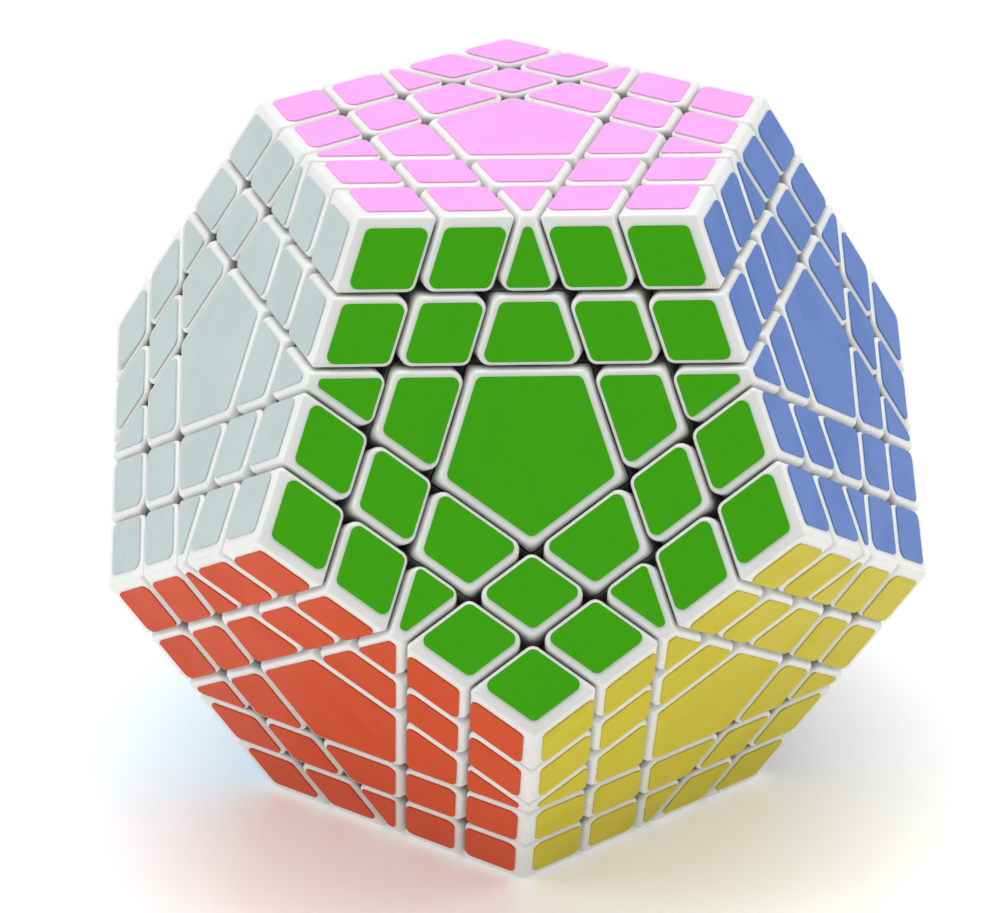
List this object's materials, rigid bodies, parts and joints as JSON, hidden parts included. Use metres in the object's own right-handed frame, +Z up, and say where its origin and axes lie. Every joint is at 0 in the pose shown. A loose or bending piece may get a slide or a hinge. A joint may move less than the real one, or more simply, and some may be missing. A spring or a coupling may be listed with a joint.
{
  "type": "dodecahedron twisty puzzle",
  "caption": "Twelve-sided twisting puzzle in white plastic with a coloured sticker on each cap; its faces turn in two layers to mix and sort the colours.",
  "frame": {"origin": "middle of the bottom face, on the surface the puzzle stands on", "axes": "+Z up through the top face; -Y towards the front face"},
  "size_m": [0.1176, 0.1236, 0.1006],
  "materials": {
    "white_plastic": "glossy moulded plastic",
    "core_plastic": "satin moulded plastic",
    "screw_steel": "plated steel",
    "washer_steel": "plain steel",
    "spring_steel": "drawn spring wire",
    "sticker_mixed": "vinyl film in five colours",
    "sticker_pink": "satin vinyl film",
    "sticker_green": "satin vinyl film",
    "sticker_blue": "satin vinyl film",
    "sticker_red": "satin vinyl film",
    "sticker_cream": "satin vinyl film",
    "sticker_grey": "satin vinyl film",
    "sticker_yellow": "satin vinyl film",
    "sticker_black": "satin vinyl film",
    "sticker_light_green": "satin vinyl film",
    "sticker_light_blue": "satin vinyl film",
    "sticker_orange": "satin vinyl film",
    "sticker_purple": "satin vinyl film"
  },
  "bodies": {
    "fixed": {"core_upper_half": "core_plastic", "core_lower_half": "core_plastic", "tension_screws": "screw_steel", "tension_washers": "washer_steel", "tension_springs": "spring_steel", "fixed_corners": "white_plastic", "fixed_wings": "white_plastic", "fixed_middle_edges": "white_plastic", "fixed_corner_centers": "white_plastic", "fixed_side_centers": "white_plastic", "fixed_center_barrels": "white_plastic", "fixed_center_lids": "white_plastic", "fixed_pink_stickers": "sticker_pink", "fixed_blue_stickers": "sticker_blue", "fixed_red_stickers": "sticker_red", "fixed_grey_stickers": "sticker_grey", "fixed_yellow_stickers": "sticker_yellow", "fixed_black_stickers": "sticker_black", "fixed_light_green_stickers": "sticker_light_green", "fixed_light_blue_stickers": "sticker_light_blue", "fixed_orange_stickers": "sticker_orange"},
    "front_inner": {"front_inner_wings": "white_plastic", "front_inner_corner_centers": "white_plastic", "front_inner_side_centers": "white_plastic", "front_inner_side_stickers": "sticker_mixed"},
    "front_outer": {"front_outer_corners": "white_plastic", "front_outer_wings": "white_plastic", "front_outer_middle_edges": "white_plastic", "front_outer_corner_centers": "white_plastic", "front_outer_side_centers": "white_plastic", "front_outer_center_barrels": "white_plastic", "front_outer_center_lids": "white_plastic", "front_outer_face_stickers": "sticker_green", "front_outer_side_stickers": "sticker_mixed"},
    "back_inner": {"back_inner_wings": "white_plastic", "back_inner_corner_centers": "white_plastic", "back_inner_side_centers": "white_plastic", "back_inner_side_stickers": "sticker_mixed"},
    "back_outer": {"back_outer_corners": "white_plastic", "back_outer_wings": "white_plastic", "back_outer_middle_edges": "white_plastic", "back_outer_corner_centers": "white_plastic", "back_outer_side_centers": "white_plastic", "back_outer_center_barrels": "white_plastic", "back_outer_center_lids": "white_plastic", "back_outer_face_stickers": "sticker_cream", "back_outer_side_stickers": "sticker_mixed"},
    "bottom_inner": {"bottom_inner_wings": "white_plastic", "bottom_inner_corner_centers": "white_plastic", "bottom_inner_side_centers": "white_plastic", "bottom_inner_side_stickers": "sticker_mixed"},
    "bottom_outer": {"bottom_outer_corners": "white_plastic", "bottom_outer_wings": "white_plastic", "bottom_outer_middle_edges": "white_plastic", "bottom_outer_corner_centers": "white_plastic", "bottom_outer_side_centers": "white_plastic", "bottom_outer_center_barrels": "white_plastic", "bottom_outer_center_lids": "white_plastic", "bottom_outer_face_stickers": "sticker_purple", "bottom_outer_side_stickers": "sticker_mixed"}
  },
  "joints": [
    {"name": "front_inner_turn", "type": "hinge", "parent": "fixed", "child": "front_inner", "pos_m": [0, 0, 0.05031], "axis": [0, -0.8944, 0.4472], "continuous": true},
    {"name": "front_outer_turn", "type": "hinge", "parent": "front_inner", "child": "front_outer", "pos_m": [0, 0, 0.05031], "axis": [0, -0.8944, 0.4472], "continuous": true},
    {"name": "back_inner_turn", "type": "hinge", "parent": "fixed", "child": "back_inner", "pos_m": [0, 0, 0.05031], "axis": [-0.5257, 0.7236, 0.4472], "continuous": true},
    {"name": "back_outer_turn", "type": "hinge", "parent": "back_inner", "child": "back_outer", "pos_m": [0, 0, 0.05031], "axis": [-0.5257, 0.7236, 0.4472], "continuous": true},
    {"name": "bottom_inner_turn", "type": "hinge", "parent": "fixed", "child": "bottom_inner", "pos_m": [0, 0, 0.05031], "axis": [0, 0, -1], "continuous": true},
    {"name": "bottom_outer_turn", "type": "hinge", "parent": "bottom_inner", "child": "bottom_outer", "pos_m": [0, 0, 0.05031], "axis": [0, 0, -1], "continuous": true}
  ]
}
